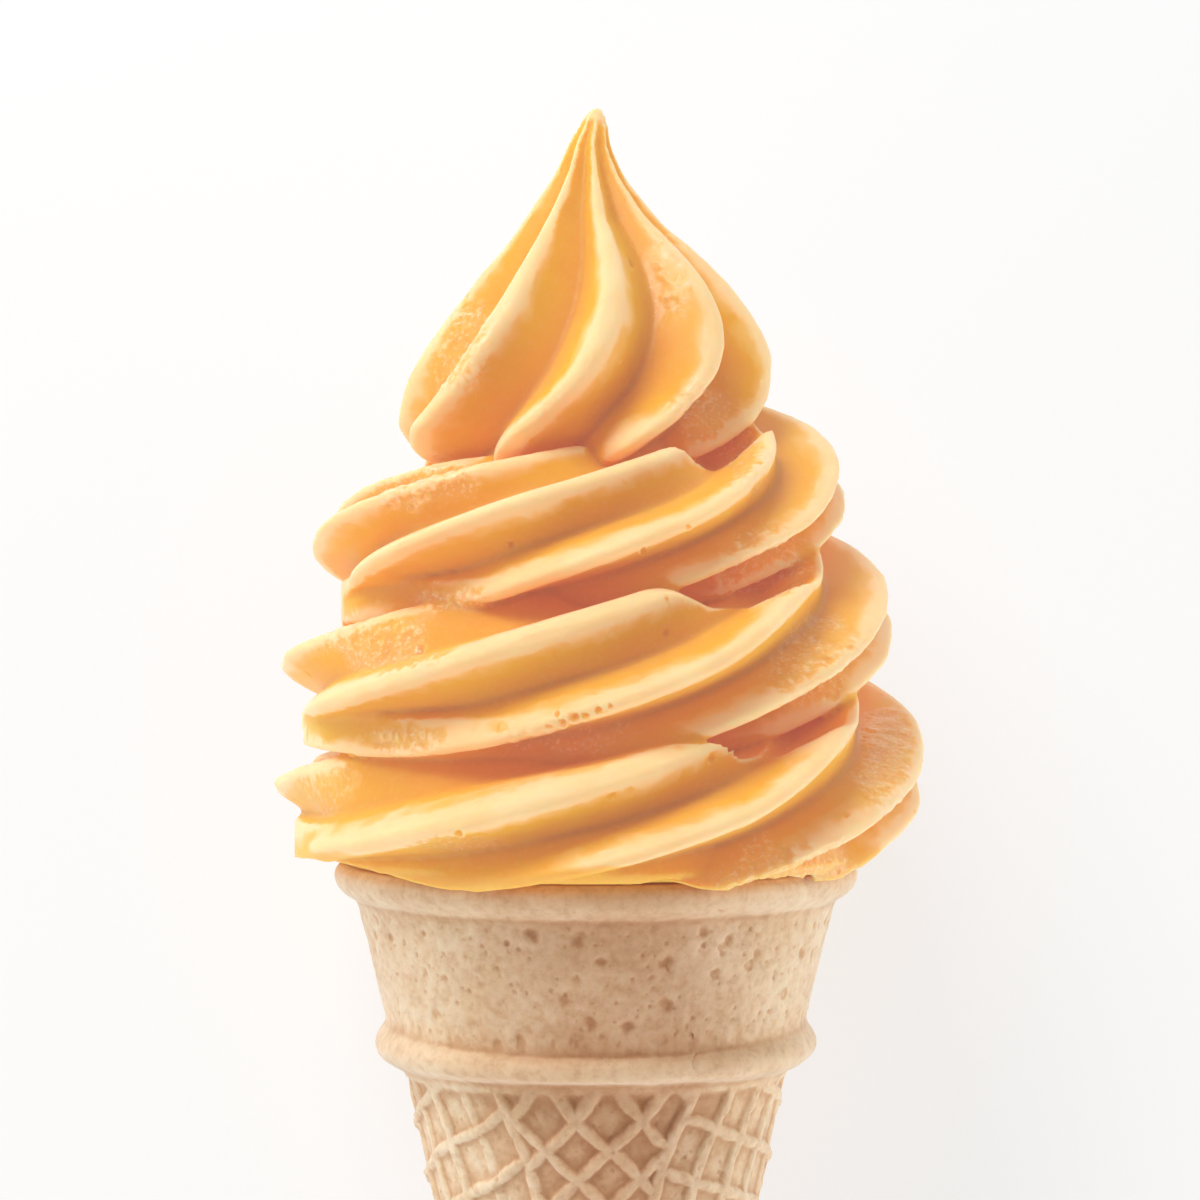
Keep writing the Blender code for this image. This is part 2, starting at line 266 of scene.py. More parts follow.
# One row for each quarter turn of the piped rope. Turn 0 is at the right, 0.25 at the back,
# 0.5 at the left, 0.75 at the front.
# turns, reach from the axis, half its depth, half its height, level above the rim, lean in deg
ropeStations = (
    (-0.10, 12.0, 9.0, 6.0, 3.0, 3.0),
    (0.08, 23.0, 13.0, 7.0, 3.4, 3.0),
    (0.25, 29.5, 14.2, 8.0, 3.8, 3.5),
    (0.50, 33.2, 15.5, 6.4, 5.7, 4.0),
    (0.75, 32.9, 15.5, 9.2, 6.0, 4.5),
    (1.00, 33.0, 15.5, 11.2, 9.7, 5.0),
    (1.25, 33.0, 15.5, 9.0, 13.6, 5.0),
    (1.50, 32.4, 15.4, 6.3, 18.1, 5.0),
    (1.75, 31.4, 15.3, 9.6, 18.9, 5.5),
    (2.00, 30.1, 15.2, 9.8, 24.7, 5.5),
    (2.25, 29.4, 15.1, 9.4, 28.3, 6.0),
    (2.50, 28.4, 15.0, 7.8, 31.4, 6.0),
    (2.75, 26.4, 14.6, 8.7, 32.3, 7.5),
    (2.88, 25.7, 14.3, 8.1, 34.0, 9.0),
    (3.00, 25.0, 14.0, 9.4, 37.2, 10.0),
    (3.25, 22.6, 13.0, 9.0, 39.6, 11.0),
    (3.50, 17.2, 12.0, 7.5, 41.0, 12.0),
    (3.75, 10.0, 8.0, 6.0, 41.0, 12.0),
)
# where each ridge crosses the rope's outer edge on the three turns, deg from the front
ridgeBearings = (
    (-112.0, -110.0, -84.0),
    (-20.0, -35.0, -36.0),
    (26.0, 19.0, 18.0),
    (68.0, 61.0, 61.0),
    (108.0, 104.0, 96.0),
    (152.0, 152.0, 152.0),
    (192.0, 195.0, 198.0),
    (220.0, 232.0, 240.0),
)
# height above the rim, radius, shift to the right, twist in deg
peakStations = (
    (39.6, 9.0, -2.8, -34.0),
    (40.1, 13.6, -2.8, -31.0),
    (40.9, 15.7, -2.7, -28.0),
    (42.1, 17.4, -2.5, -24.0),
    (44.1, 18.6, -2.0, -17.0),
    (46.9, 18.5, -1.1, -9.0),
    (49.3, 18.05, -0.5, -4.5),
    (51.7, 17.05, 0.0, -2.0),
    (54.1, 15.5, 0.35, -0.5),
    (56.5, 13.75, 0.5, 0.0),
    (58.9, 11.7, 0.4, 0.5),
    (61.3, 9.4, 0.1, 1.0),
    (63.7, 7.05, -0.4, 2.5),
    (66.1, 5.25, -0.6, 4.0),
    (68.5, 3.6, -0.7, 4.7),
    (70.9, 2.5, -0.7, 5.2),
    (73.3, 1.6, -0.3, 5.7),
    (74.5, 1.1, -0.1, 6.0),
    (75.3, 0.4, 0.1, 6.0),
)
# bearing of each ridge at the peak's foot, deg from the front
peakBearings = (-86.0, -36.0, 5.5, 48.0, 89.0, 134.0, 180.0, 226.0)
# valleys where a turn dips under the one above: first and last turn, reach, height, mm up per
# mm out
valleys = (
    (0.78, 0.96, 26.5, 11.4, 0.9),
    (1.78, 1.96, 24.5, 25.3, 0.9),
    (2.74, 3.01, 16.0, 38.2, 1.5),
)
# where a turn's underside is pushed out at the left: middle and width in turns, reach, height
pushedOut = (
    (0.50, 0.16, 30.0, 5.4),
    (1.54, 0.13, 29.3, 16.2),
    (2.52, 0.10, 25.4, 29.0),
)
# small torn or pebbly patches: right of the middle, height above the rim, half width, half
# height, strength
tornPatches = (
    (-16.5, 37.0, 5.5, 2.6, 0.9),
    (-20.0, 22.0, 6.0, 3.0, 0.9),
    (-13.0, 50.0, 3.6, 6.5, 0.8),
    (10.5, 43.8, 3.5, 3.0, 1.0),
    (15.5, 29.5, 5.0, 3.6, 0.9),
    (14.4, 39.5, 2.2, 3.0, 0.6),
    (20.5, 20.0, 5.0, 4.0, 0.8),
    (28.0, 11.0, 3.2, 7.0, 0.8),
    (18.0, 1.5, 8.0, 3.0, 0.9),
    (-26.0, 8.5, 3.5, 3.0, 0.5),
    (-3.0, 13.8, 6.0, 1.8, 0.6),
    (-18.0, 13.0, 4.5, 1.5, 0.9),
    (-13.0, 26.2, 4.0, 1.2, 0.9),
    (-13.5, 4.2, 5.0, 0.9, 0.6),
    (7.0, 58.0, 2.4, 5.0, 0.5),
)
softServe = {
    "fluteDepth": 0.33,     # of the rope's half size, ridge to groove
    "fluteSkew": 0.56,      # where the groove lies between two ridges
    "pressedFlute": 0.3,    # of the flutes left where turns press on each other
    "noseRidge": 2,         # the ridge that turns over sooner, in a nose, on each turn
    "nosePast": 26.0,       # deg past its crossing
    "noseTwist": -9.0,      # deg
    "valleyStart": 0.06,    # turns over which a valley begins
    "valleyEnd": 0.12,      # turns over which it ends
    "pushedStep": 1.2,      # mm down over which the pushed-out underside begins
    "sectionPoints": 22,    # from one ridge to the next
    "coilStep": 1.5,        # deg
    "ropeGirth": 82.0,      # mm round the rope
    "ropeTurn": 190.0,      # mm along one turn
    "peakRings": 150,
    "peakRise": 0.02,       # of the peak's foot towards the right, mm per mm
    "peakDroop": 0.09,      # of its foot towards the front
    "coreOutline": (        # radius and height of the filled middle
        (24.0, 0.3), (27.2, 0.3), (27.9, 1.2), (27.0, 3.5),
        (20.0, 7.0), (14.0, 9.0), (14.0, 37.0), (9.0, 43.0),
    ),
    "coreSteps": 96,
    "voxel": 0.3,           # mm, of the skin that joins coil and peak
    "slowSwell": 0.3,       # mm, bulges about 9 mm long
    "crestWear": 0.2,       # mm, the ridges' torn edge
    "crestWidth": 0.09,     # of the way to the next ridge
    "dragLines": 0.05,      # mm, left along the rope by the nozzle
    "tornHeight": 0.26,     # mm
    "pebbleSize": 1.0,      # mm
    "pebbleGap": 0.55,      # of a pebble's size
    "skinGrain": 0.028,     # mm
    "bubbleSpacing": 2.4,   # mm
    "bubbleRadius": 0.22,   # mm, the smallest
    "bubbleSpread": 0.35,   # mm more for the largest
    "bubbleDepth": 0.22,    # mm
    "bubbleShare": 0.04,    # of the spots, where the skin is whole
    "tornBubbles": 0.4,     # more of them, where it is torn
    "triangles": 190000,
    "gap": 0.3,             # mm to the wafer
    "lipHeight": 0.25,      # mm above the rim's top, behind
    "lipDrop": 0.75,        # mm lower in front
    "lipRagged": 0.16,      # mm
    "lipBend": (24.6, 26.2),    # reaches between which the lip's waves grow
    "lipSquash": 0.1,       # how much is left of what would hang below the lip
}


def fluteShape(t):
    # depth of the rope's surface, t of the way from one ridge to the next
    q = softServe["fluteSkew"]
    keys = (
        (0.0, 0.0), (0.1 * q, 0.07), (0.29 * q, 0.4), (0.52 * q, 0.71), (0.78 * q, 0.92), (q, 1.0),
        (q + 0.14 * (1 - q), 0.88), (q + 0.46 * (1 - q), 0.46), (q + 0.72 * (1 - q), 0.1),
        (q + 0.82 * (1 - q), 0.015), (1.0, 0.0),
    )
    return along(keys, t)


def ropeSection(bearings):
    # bearings: one row of ridge bearings for each section
    count = softServe["sectionPoints"]
    t = np.arange(count) / count
    following = np.concatenate([bearings[:, 1:], bearings[:, :1] + 360], 1)
    angles = bearings[:, :, None] + (following - bearings)[:, :, None] * t
    return angles.reshape(len(bearings), -1), np.tile(fluteShape(t), bearings.shape[1])


def ropeUnevenness(onward, count):
    # mm added to the rope's surface, for each step along it and each point round it
    ring = np.arange(count) * math.tau / count
    girth = softServe["ropeGirth"] / math.tau
    shape = (len(onward), count)
    place = np.stack([
        np.broadcast_to(onward[:, None], shape),
        np.broadcast_to(girth * np.cos(ring), shape),
        np.broadcast_to(girth * np.sin(ring), shape),
    ], -1)
    t = np.arange(count) % softServe["sectionPoints"] / softServe["sectionPoints"]
    onCrest = hump(np.minimum(t, 1 - t), 0, softServe["crestWidth"])
    swell = softServe["slowSwell"] * softNoise(place, 9.0, 3)
    wear = softServe["crestWear"] * onCrest * layeredNoise(place, 2.6, 5)
    lines = softServe["dragLines"] * softNoise(place / (24.0, 1.0, 1.0), 1.3, 8)
    return swell + wear + lines


def ridgesAlong(turns):
    # the bearing of each ridge at each step along the coil
    bearings = []
    for ridge, tiers in enumerate(ridgeBearings):
        keys = []
        for tier, bearing in enumerate(tiers):
            crossing = 0.75 + bearing / 360 + tier   # turn 0.75 is at the front
            keys.append((crossing, bearing))
            if ridge == softServe["noseRidge"]:
                past = crossing + softServe["nosePast"] / 360
                keys.append((past, bearing + softServe["noseTwist"]))
        bearings.append(along(keys, turns))
    return np.stack(bearings, 1)


def coilPoints():
    stations = np.array(ropeStations)
    turns = np.arange(stations[0, 0], stations[-1, 0], softServe["coilStep"] / 360)
    reach, depth, height, level, lean = [
        along(stations[:, (0, i)], turns)[:, None] for i in range(1, 6)
    ]
    bearing, deep = ropeSection(ridgesAlong(turns))
    angle = turns[:, None] * math.tau
    lean = np.radians(lean)
    turned = np.radians(bearing - 90) - angle
    under = np.sin(turned) * (np.cos(turned) > -0.2)   # 1 straight below the rope's middle
    pressed = smoothStep(0.8, 1.0, under) * (1 - softServe["pressedFlute"])
    uneven = ropeUnevenness(turns * softServe["ropeTurn"], bearing.shape[1]) / depth
    factor = 1 - softServe["fluteDepth"] * deep * (1 - pressed) + uneven
    outward = reach - depth + depth * factor * np.cos(turned)
    across = height * factor * np.sin(turned)
    z = level - across * np.cos(lean)
    for start, end, out, foot, rise in valleys:
        begun = smoothStep(start, start + softServe["valleyStart"], turns[:, None])
        tucked = begun * smoothStep(end, end - softServe["valleyEnd"], turns[:, None])
        ceiling = foot + rise * np.maximum(outward - out, 0)
        z = z - tucked * np.maximum(z - ceiling, 0)
    for middle, width, out, top in pushedOut:
        near = hump(turns[:, None], middle, width) * (np.cos(turned) > 0)
        below = smoothStep(top, top - softServe["pushedStep"], z)
        outward = outward + near * below * np.maximum(out - outward, 0)
    onward = across * np.sin(lean)
    x = outward * np.cos(angle) - onward * np.sin(angle)
    y = outward * np.sin(angle) + onward * np.cos(angle)
    return np.stack([x, y, z], -1)


def peakPoints():
    stations = np.array(peakStations)
    share = np.linspace(0, 1, softServe["peakRings"]) ** 1.15   # closer rings at the foot
    z = stations[0, 0] + (stations[-1, 0] - stations[0, 0]) * share
    radius, shift, twist = [along(stations[:, (0, i)], z)[:, None] for i in (1, 2, 3)]
    bearing, deep = ropeSection(np.array(peakBearings)[None] + twist)
    angle = np.radians(bearing - 90)
    thin = np.minimum(radius / 12, 1)   # calmer as the peak narrows
    uneven = ropeUnevenness(z + 300, bearing.shape[1]) * thin   # far from the coil's own pattern
    radius = radius * (1 - softServe["fluteDepth"] * deep) + uneven
    x = radius * np.cos(angle)
    y = radius * np.sin(angle)
    rise = softServe["peakRise"] * x + softServe["peakDroop"] * np.minimum(y, 0)
    rise = rise * np.maximum(0, 1 - (z[:, None] - stations[0, 0]) / 14)   # none 14 mm up
    return np.stack([x + shift, y, z[:, None] + rise], -1)


def turnedPoints(outline, steps):
    angle = np.arange(steps) * math.tau / steps
    ring = np.stack([np.cos(angle), np.sin(angle)], 1)
    return np.array([np.c_[ring * radius, np.full(steps, z)] for radius, z in outline])


def corePoints():
    # the filled middle of the coil, and the foot that is pressed flat on the rim
    return turnedPoints(softServe["coreOutline"], softServe["coreSteps"])


def joinedSkin():
    points, faces = [], []
    for rings in (coilPoints(), peakPoints(), corePoints()):
        first = sum(len(p) for p in points)
        faces += ringFaces(*rings.shape[:2], first)
        points.append(rings.reshape(-1, 3))
    obj = meshObject("softServe", np.concatenate(points), faces)
    facingOut(obj)
    remesh = obj.modifiers.new("one skin", "REMESH")
    remesh.mode = "VOXEL"
    remesh.voxel_size = softServe["voxel"] * 1
    applyModifiers(obj)
    return obj


# single burst bubbles and nicks at the front: to the right, height, radius, depth
burstBubbles = (
    (-2.9, 15.1, 0.42, 0.3), (-1.9, 15.6, 0.5, 0.36), (-0.9, 15.7, 0.34, 0.26), (-4.2, 14.7, 0.3, 0.22),
    (0.2, 16.3, 0.4, 0.28), (1.4, 16.6, 0.28, 0.2), (-3.5, 15.9, 0.25, 0.2), (4.4, 30.6, 0.34, 0.22),
    (8.5, 32.8, 0.3, 0.2), (-7.8, 31.2, 0.36, 0.24), (-12.2, 5.2, 0.4, 0.25), (10.5, 11.6, 0.36, 0.25),
)


def tornMask(points):
    # where the surface is torn: the named patches at the front, chance patches behind
    torn = smoothStep(0.35, 0.7, layeredNoise(points, 11.0, 41, 2)) * 0.7
    torn = torn * smoothStep(-4, 6, points[:, 1])
    for right, height, halfWidth, halfHeight, strength in tornPatches:
        away = np.hypot((points[:, 0] - right) / halfWidth, (points[:, 2] - height) / halfHeight)
        away = away + 0.35 * softNoise(points, 2.5, 43)
        torn = np.maximum(torn, strength * smoothStep(1.15, 0.6, away) * (points[:, 1] < 0))
    return torn


def softServeRelief(points):
    # mm out of the surface
    torn = tornMask(points)
    best, second, _ = nearestGrain(points, softServe["pebbleSize"], 51)
    pebbles = np.clip((second - best) / softServe["pebbleGap"], 0, 1) - softServe["pebbleGap"]
    ragged = pebbles * 0.6 + layeredNoise(points, 1.6, 53, 3) * 0.8
    relief = softServe["tornHeight"] * torn * ragged
    relief = relief + softServe["skinGrain"] * layeredNoise(points, 1.5, 57, 2)
    best, _, pick = nearestGrain(points, softServe["bubbleSpacing"], 61)
    size = softServe["bubbleRadius"] + softServe["bubbleSpread"] * pick
    many = softServe["bubbleShare"] + softServe["tornBubbles"] * torn
    bubble = np.where((pick * 7.3 % 1) < many, np.clip(1 - (best / size) ** 2, 0, 1), 0)
    relief = relief - softServe["bubbleDepth"] * np.sqrt(bubble) * size / 0.5
    for right, height, reach, deep in burstBubbles:
        away = np.hypot(points[:, 0] - right, points[:, 2] - height) / reach
        away = np.where(points[:, 1] < 0, away + 0.12 * ragged, 9)
        relief = relief - deep * (1 - smoothStep(0.5, 1.0, away))
        relief = relief + 0.3 * deep * hump(away, 1.15, 0.16)   # a low lip round each
    return relief


# where the lip hangs higher, so that the rim shows, or lower: bearing and width in deg, mm up
lipWaves = ((-62.0, 22.0, 1.7), (-8.0, 14.0, -0.35), (13.0, 6.5, 1.3))


def settleOnRim(points):
    # the lowest ridge lies on the rim: a thin uneven lip outside it, clear of it inside
    reach = np.hypot(points[:, 0], points[:, 1])
    front = smoothStep(-0.1, 0.75, -points[:, 1] / np.maximum(reach, 1))
    ragged = softServe["lipRagged"] * layeredNoise(points * (1, 1, 0), 2.4, 71, 3)
    lip = softServe["lipHeight"] - softServe["lipDrop"] * front + ragged
    bearing = np.degrees(np.arctan2(points[:, 0], -points[:, 1]))
    lifted = sum(high * hump(bearing, turn, wide) for turn, wide, high in lipWaves)
    lip = lip + lifted * smoothStep(*softServe["lipBend"], reach)
    z = points[:, 2]
    z = np.where(z < lip, lip + softServe["lipSquash"] * (z - lip), z)
    edge = waferOutline[1][0] + softServe["gap"]
    points[:, 2] = np.where(reach < edge, np.maximum(z, softServe["gap"]), z)
    return points


def makeSoftServe():
    obj = joinedSkin()
    mesh = obj.data
    points = meshVectors(mesh, "co")
    points = points + meshVectors(mesh, "normal") * softServeRelief(points)[:, None]
    setMeshPoints(mesh, settleOnRim(points))
    print("soft serve skin:", len(mesh.vertices), "points")
    thinOut(obj, softServe["triangles"])
    layDown(obj)
    return obj


# radius and height of the wafer's outline, from the rim down
waferOutline = (
    (25.5, 0.0), (26.1, -0.7), (26.05, -1.4), (25.75, -2.2), (25.0, -2.9), (23.9, -3.5),
    (23.6, -4.3), (21.0, -15.0), (20.95, -15.8), (21.4, -16.4), (21.9, -17.1), (22.05, -17.9),
    (21.7, -18.8), (20.7, -19.6), (19.5, -20.2), (19.1, -20.6), (5.1, -91.0), (4.4, -94.0),
    (2.9, -95.6), (0.3, -96.0),
)
# large dents in the cup: bearing from the front in deg, height, radius, depth
waferDents = (
    (-14.6, -4.9, 1.0, 0.42), (-3.8, -5.2, 1.1, 0.32), (0.9, -7.2, 0.75, 0.3), (16.5, -7.5, 0.9, 0.4),
    (-7.5, -10.8, 1.1, 0.34), (17.3, -11.6, 1.0, 0.4), (-1.2, -13.2, 0.95, 0.36),
    (8.0, -13.5, 0.95, 0.42), (25.2, -4.6, 0.8, 0.3), (32.3, -5.9, 0.85, 0.34),
    (41.5, -7.2, 0.9, 0.34), (31.1, -6.9, 0.6, 0.3), (49.9, -9.7, 0.8, 0.3),
    (-20.8, -5.8, 0.45, 0.35), (-46.3, -9.1, 0.6, 0.25), (-39.5, -9.4, 0.55, 0.28),
)
# broken places on the rim's lower bend: bearing and spread in deg
rimBreaks = ((-34.0, 9.0), (26.0, 5.0), (130.0, 14.0), (-150.0, 10.0))
# hair cracks: bearing in deg, lower and upper end
hairCracks = ((25.5, -20.3, -15.6), (-56.0, -3.2, -1.6), (140.0, -20.0, -16.5))
# pits left by steam: spacing, seed, share of the spots, depth, and how strong they are all
# over, in the cup and on the lattice
waferPits = (
    (0.95, 93, 0.75, 0.13, 0.3, 0.7, 0.5),
    (2.2, 95, 0.35, 0.22, 0.15, 0.75, 0.2),
)
# where the collar's outline moves up in front and behind: height, width, mm up
collarShifts = ((-20.3, 1.3, 1.0), (-15.6, 0.9, -0.5))
# ribs that run down the right (1) and left (-1) side of the cone: bearing at the top in deg,
# height as a share
sideRibs = {
    1: ((30.0, 1.0), (43.8, 1.0), (57.4, 0.9), (71.0, 0.8), (85.0, 0.7)),
    -1: ((30.0, 0.8), (44.0, 0.35), (58.5, 1.0), (72.0, 0.8), (86.0, 0.7)),
}
# slanting bars across those ribs: the bearing where each slope ends in deg, mm down per mm round
barSlopes = {
    1: ((6.0, 0.95), (25.0, 0.5), (90.0, 0.35)),
    -1: ((15.0, 0.95), (37.0, 0.67), (90.0, 0.5)),
}
wafer = {
    "steps": 760,          # round the cone
    "spacing": 0.22,       # mm down the cone
    "ribWidth": 0.58,      # mm, half
    "sideRibWidth": 1.1,   # times that, at the sides
    "pocketDepth": 0.45,   # mm
    "latticeTop": -20.8,
    "latticeEnd": -88.0,
    "rowHeight": 3.0,      # mm, half a cell, at the top
    "cellTurn": 9.7,       # deg, half a cell
    "firstCell": -5.6,     # deg, where a crossing lies
    "border": 30.0,        # deg, where the diamonds end at the top
    "borderDrift": 16.6,   # deg, how far the border and the side ribs drift forward
    "driftLength": 9.0,    # mm down over which they do most of it
    "firstBar": {1: 0.35, -1: 0.85},    # of a bar's spacing
    "seamWidth": 0.3,      # mm, half, where the mould's halves met
    "seamHeight": 0.5,     # of a rib's
    "crumb": 0.035,        # mm, roughness all over
    "cupCrumb": 0.075,     # mm more in the cup
    "ribCrumb": 0.2,       # mm more on the ribs
    "unevenness": 0.09,    # mm, lumps about 5 mm across
    "smallDents": 46,      # at the sides of the cup and behind
    "dentLip": 0.25,       # of a dent's depth
    "breakDepth": 0.34,    # mm
    "crackDepth": 0.2,     # mm
    "crackWidth": 0.12,    # mm, half
    "cupRadius": 22.0,     # mm
    "cupBottom": (-15.4, -14.6),
    "cupTop": (-3.9, -4.6),
    "rimBottom": (-3.6, -3.0),
    "shadedFrontTurn": 6.0,    # deg, the middle of the front that is painted darker as shade
    "shadedToLitWidth": (4.0, 48.0),    # deg to either side, from painted shade to painted light
    "collarPale": 0.5,     # of the sides' paleness
    "triangles": 190000,
}


def ribShape(away, half):
    # a rounded rib with steep sides, from 1 on top to 0
    return smoothStep(1.35, 0.45, np.abs(away) / half)


def dropAlong(turn, radius, slopes):
    # mm that a rib falls by this bearing, when its slope changes at the given bearings
    drop, before = 0, 0.0
    for end, slope in slopes:
        drop = drop + slope * np.radians(np.clip(turn, before, end) - before)
        before = end
    return drop * radius


def latticeRibs(bearing, z, radius):
    # diamonds at the front, running into steep ribs and slanting bars at the sides. The mould's
    # other half leaves the same behind
    behind = np.abs(bearing) > 90
    side = np.where(bearing > 0, 1, -1)
    turn = np.where(behind, 180 - np.abs(bearing), np.abs(bearing))
    signed = turn * side
    top = waferRadius(wafer["latticeTop"])
    fall = 0.25   # mm between the heights at which rows are counted
    heights = np.arange(wafer["latticeTop"] + 1.0, -97, -fall)
    steps = wafer["rowHeight"] * (waferRadius(heights) / top) ** 0.6   # cells shrink down the cone
    rows = np.concatenate([[0], np.cumsum(fall / steps)[:-1]])
    row = np.interp(-z, -heights, rows)
    rowStep = np.interp(-z, -heights, steps)
    half = wafer["ribWidth"] * (radius / top) ** 0.4
    column = (signed - wafer["firstCell"]) / wafer["cellTurn"]
    columnStep = radius * math.radians(wafer["cellTurn"])
    spread = 1 / np.hypot(1 / columnStep, 1 / rowStep)
    inward = wafer["borderDrift"] * (1 - np.exp((z - wafer["latticeTop"]) / wafer["driftLength"]))
    border = wafer["border"] - inward
    ribs = np.zeros_like(z)
    for lean in (1, -1):
        line = (row + lean * column + 1) / 2
        away = (line - np.round(line)) * 2 * spread
        ribs = np.maximum(ribs, ribShape(away, half) * (turn < border))
    for hand, found in sideRibs.items():
        for start, strength in found:
            away = np.radians(turn - start + inward) * radius * 0.93   # as the ribs slant a little
            rib = ribShape(away, half * wafer["sideRibWidth"]) * strength
            ribs = np.maximum(ribs, rib * (side == hand))
    drops = {hand: dropAlong(turn, radius, slopes) for hand, slopes in barSlopes.items()}
    drop = np.where(side > 0, drops[1], drops[-1])
    first = np.where(side > 0, wafer["firstBar"][1], wafer["firstBar"][-1])
    bars = (row - drop / rowStep) / 2 + first
    away = (bars - np.round(bars)) * 2 * rowStep * 0.9   # and so do the bars
    ribs = np.maximum(ribs, ribShape(away, half) * (turn >= border))
    seam = ribShape((turn - 90) * math.pi / 180 * radius, wafer["seamWidth"]) * wafer["seamHeight"]
    return np.maximum(ribs, seam)


def waferRadius(z):
    outline = np.array(waferOutline)
    return np.interp(-z, -outline[:, 1], outline[:, 0])


def dentField(bearing, z, radius, ragged):
    # depth in mm of the cup's dents, each with a low lip round it
    depth = np.zeros_like(z)
    chance = np.random.default_rng(12)
    dents = list(waferDents)
    for _ in range(wafer["smallDents"]):
        dents.append((chance.uniform(60, 300), chance.uniform(-14.5, -4.8),
                      chance.uniform(0.4, 1.1), chance.uniform(0.2, 0.4)))
    for turn, height, size, deep in dents:
        off = (bearing - turn + 180) % 360 - 180
        away = np.hypot(np.radians(off) * radius, z - height) / size + 0.2 * ragged
        depth = np.maximum(depth, 0.7 * deep * (1 - smoothStep(0.2, 1.0, away)))
        depth = depth - wafer["dentLip"] * deep * hump(away, 1.15, 0.16)
    return depth


def pitField(points, size, seed, share, depth):
    # depth in mm of round pits, this far apart
    best, _, pick = nearestGrain(points, size, seed)
    reach = size * (0.12 + 0.22 * (pick * 5.7 % 1))
    return np.where(pick < share, depth * np.sqrt(np.clip(1 - (best / reach) ** 2, 0, 1)), 0)


def rimChips(bearing, z, points):
    # mm lost in small broken places on the rim's lower bend, and in hair cracks
    chips = smoothStep(0.1, 0.6, layeredNoise(points, 1.5, 91, 2))
    band = hump(z, -2.3, 0.55)
    near = np.zeros_like(z)
    for middle, spread in rimBreaks:
        near = np.maximum(near, hump(bearing, middle, spread))
    cracks = 0
    for turn, low, high in hairCracks:
        path = (bearing - turn + 1.1 * np.sin(z * 2.1)) * math.pi / 180 * wafer["cupRadius"]
        crack = hump(path, 0, wafer["crackWidth"])
        cracks = cracks + crack * smoothStep(low, low + 0.6, z) * smoothStep(high, high - 0.6, z)
    return wafer["breakDepth"] * chips * band * near + wafer["crackDepth"] * cracks


def waferRelief(bearing, z, radius, points):
    # mm out of the plain outline
    cup = smoothStep(*wafer["cupBottom"], z) * smoothStep(*wafer["cupTop"], z)
    rim = smoothStep(*wafer["rimBottom"], z)
    lattice = smoothStep(wafer["latticeTop"], wafer["latticeTop"] - 0.7, z)
    lattice = lattice * smoothStep(wafer["latticeEnd"] - 2, wafer["latticeEnd"], z)
    wavering = points + 0.25 * np.stack([softNoise(points, 3.0, seed) for seed in (81, 82, 83)], -1)
    wavy = np.hypot(wavering[..., 0], wavering[..., 1])
    turned = np.degrees(np.arctan2(wavering[..., 0], -wavering[..., 1]))
    ribs = latticeRibs(turned, wavering[..., 2], np.maximum(wavy, 0.5))
    relief = -wafer["pocketDepth"] * (radius / 19) ** 0.5 * lattice * (1 - ribs)
    crumbly = layeredNoise(points, 0.9, 85, 2)
    crumb = wafer["crumb"] + wafer["cupCrumb"] * cup + wafer["ribCrumb"] * lattice * ribs
    relief = relief + crumbly * crumb
    relief = relief + wafer["unevenness"] * layeredNoise(points, 5.0, 87, 2)
    relief = relief - cup * dentField(bearing, z, radius, crumbly)
    for spacing, seed, share, deep, allOver, inCup, onLattice in waferPits:
        strength = allOver + inCup * cup + onLattice * lattice
        relief = relief - pitField(points, spacing, seed, share, deep) * strength
    relief = relief - rimChips(bearing, z, points) * (rim + (z < -15))   # none in the cup
    return relief


def makeWafer():
    outline = np.array(waferOutline)
    length = np.concatenate([[0], np.cumsum(np.hypot(*np.diff(outline, axis=0).T))])
    spacing = wafer["spacing"] * 1
    steps = wafer["steps"] // 1
    spread = np.linspace(0, length[-1], int(length[-1] / spacing))
    radius = np.interp(spread, length, outline[:, 0])
    height = np.interp(spread, length, outline[:, 1])
    soften = np.hanning(9) / np.hanning(9).sum()   # rounds the outline's corners
    radius[4:-4] = np.convolve(radius, soften, "valid")
    height[4:-4] = np.convolve(height, soften, "valid")
    outX, outZ = -np.gradient(height), np.gradient(radius)
    size = np.hypot(outX, outZ)
    outX, outZ = (outX / size)[:, None], (outZ / size)[:, None]
    angle = np.arange(steps) * math.tau / steps
    shape = (len(radius), steps)
    r = np.broadcast_to(radius[:, None], shape)
    z = np.broadcast_to(height[:, None], shape)
    points = np.stack([r * np.sin(angle), -r * np.cos(angle), z], -1)
    bearing = np.broadcast_to((np.degrees(angle) + 180) % 360 - 180, shape)
    relief = waferRelief(bearing, z, r, points)
    relief[:2] = 0   # plain where the ends are closed
    relief[-6:] = 0
    r = np.maximum(r + relief * outX, 0.05)
    z = z + relief * outZ
    raised = sum(up * hump(z, at, wide) for at, wide, up in collarShifts)
    z = z + raised * np.cos(angle) ** 2   # the collar is narrower in front and behind
    points = np.stack([r * np.sin(angle), -r * np.cos(angle), z], -1)
    obj = meshObject("waferCone", points.reshape(-1, 3), ringFaces(*shape))
    facingOut(obj)
    print("wafer relief:", len(obj.data.vertices), "points")
    thinOut(obj, wafer["triangles"])
    layDown(obj)
    return obj


def standingPoints(obj):
    # the points in mm, as they were before the cone was laid down
    back = np.array(laying.inverted())
    return meshVectors(obj.data, "co") @ back[:3, :3].T + back[:3, 3]


def keepShare(obj, name, share):
    obj.data.attributes.new(name, "FLOAT", "POINT").data.foreach_set("value", share.astype(np.float32))


